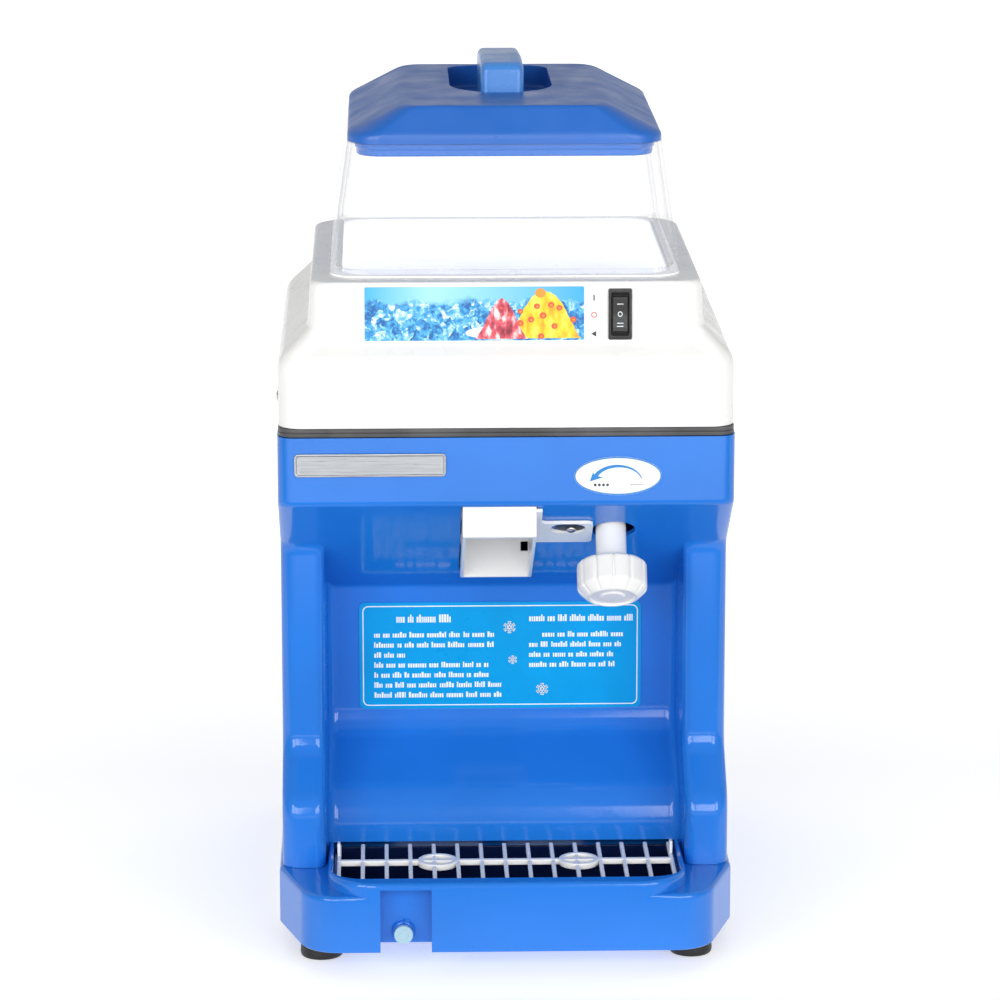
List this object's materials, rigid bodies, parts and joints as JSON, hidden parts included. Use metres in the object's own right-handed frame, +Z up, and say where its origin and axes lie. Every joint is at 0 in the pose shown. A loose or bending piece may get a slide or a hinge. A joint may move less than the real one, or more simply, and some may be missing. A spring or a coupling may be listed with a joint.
{
  "type": "shaved ice machine",
  "caption": "Counter-top ice shaver with a clear ice hopper under a lift-off lid, a chute, an adjusting knob and a drip tray.",
  "frame": {"origin": "on the table, under the middle of the object's box", "axes": "+Z up, -Y out of the front with the chute and the drip tray, +X to the right seen from the front"},
  "size_m": [0.337, 0.44, 0.65],
  "materials": {
    "blue_plastic": "glossy moulded blue plastic",
    "lid_plastic": "satin moulded blue plastic",
    "white_plastic": "smooth white plastic",
    "clear_acrylic": "clear acrylic",
    "dark_rubber": "matt rubber",
    "black_plastic": "satin black plastic",
    "steel": "zinc-plated and stainless steel",
    "grey_plastic": "soft pale plastic",
    "printed_label": "printed vinyl film",
    "badge_metal": "satin metal foil",
    "motor_paint": "dark painted steel"
  },
  "bodies": {
    "machine": {"base_shell": "blue_plastic", "drip_basin": "blue_plastic", "body_shell": "blue_plastic", "back_panel": "blue_plastic", "top_cover": "white_plastic", "ice_chute": "white_plastic", "ice_chamber": "white_plastic", "oval_label": "white_plastic", "hopper": "clear_acrylic", "left_front_foot": "dark_rubber", "left_back_foot": "dark_rubber", "right_front_foot": "dark_rubber", "right_back_foot": "dark_rubber", "gasket": "dark_rubber", "chute_washer": "dark_rubber", "drive_belt": "dark_rubber", "switch_body": "black_plastic", "terminal_block": "black_plastic", "power_inlet": "black_plastic", "bottom_plate": "steel", "deck_plate": "steel", "back_screw_left_low": "steel", "back_screw_left_high": "steel", "back_screw_right_low": "steel", "back_screw_right_high": "steel", "cover_screw_left_front": "steel", "cover_screw_left_back": "steel", "cover_screw_right_front": "steel", "cover_screw_right_back": "steel", "chute_screw": "steel", "shaft_bearing": "steel", "motor_bracket": "steel", "run_capacitor": "steel", "picture_label": "printed_label", "instruction_label": "printed_label", "badge_plate": "badge_metal", "motor_housing": "motor_paint"},
    "lid": {"lid_shell": "lid_plastic", "lid_liner": "lid_plastic"},
    "rocker": {"switch_rocker": "black_plastic"},
    "adjuster": {"adjust_knob": "white_plastic", "adjust_rod": "steel"},
    "blade_set": {"blade_carrier": "steel", "blade": "steel"},
    "rotor": {"ice_paddle": "steel", "rotor_shaft": "steel", "paddle_nut": "steel", "rotor_pulley": "steel"},
    "motor_rotor": {"motor_shaft": "steel", "motor_pulley": "steel"},
    "grid": {"drip_grid": "white_plastic"},
    "plug": {"drain_plug": "grey_plastic"}
  },
  "joints": [
    {"name": "lid_lift", "type": "slide", "parent": "machine", "child": "lid", "axis": [0, 0, 1], "range_m": [0, 0.15]},
    {"name": "switch_tilt", "type": "hinge", "parent": "machine", "child": "rocker", "pos_m": [0.082, -0.16228, 0.48046], "axis": [1, 0, 0], "range_deg": [-9, 9]},
    {"name": "adjuster_turn", "type": "hinge", "parent": "machine", "child": "adjuster", "pos_m": [0.0777, -0.134, 0.31379], "axis": [0, -0.5736, -0.8192], "range_deg": [-180, 180]},
    {"name": "blade_height", "type": "slide", "parent": "machine", "child": "blade_set", "axis": [0, 0, 1], "range_m": [-0.0011, 0.0011]},
    {"name": "rotor_spin", "type": "hinge", "parent": "machine", "child": "rotor", "pos_m": [0, -0.03, 0.4], "axis": [0, 0, 1], "continuous": true},
    {"name": "motor_spin", "type": "hinge", "parent": "machine", "child": "motor_rotor", "pos_m": [0, 0.085, 0.35], "axis": [0, 0, 1], "continuous": true},
    {"name": "grid_lift", "type": "slide", "parent": "machine", "child": "grid", "axis": [0, 0, 1], "range_m": [0, 0.05]},
    {"name": "plug_pull", "type": "slide", "parent": "machine", "child": "plug", "axis": [0, -1, 0], "range_m": [0, 0.03]}
  ],
  "couplings": [
    {"joint": "blade_height", "follows": "adjuster_turn", "m_per_rad": 0.00035},
    {"joint": "motor_spin", "follows": "rotor_spin", "ratio": 2.7}
  ]
}
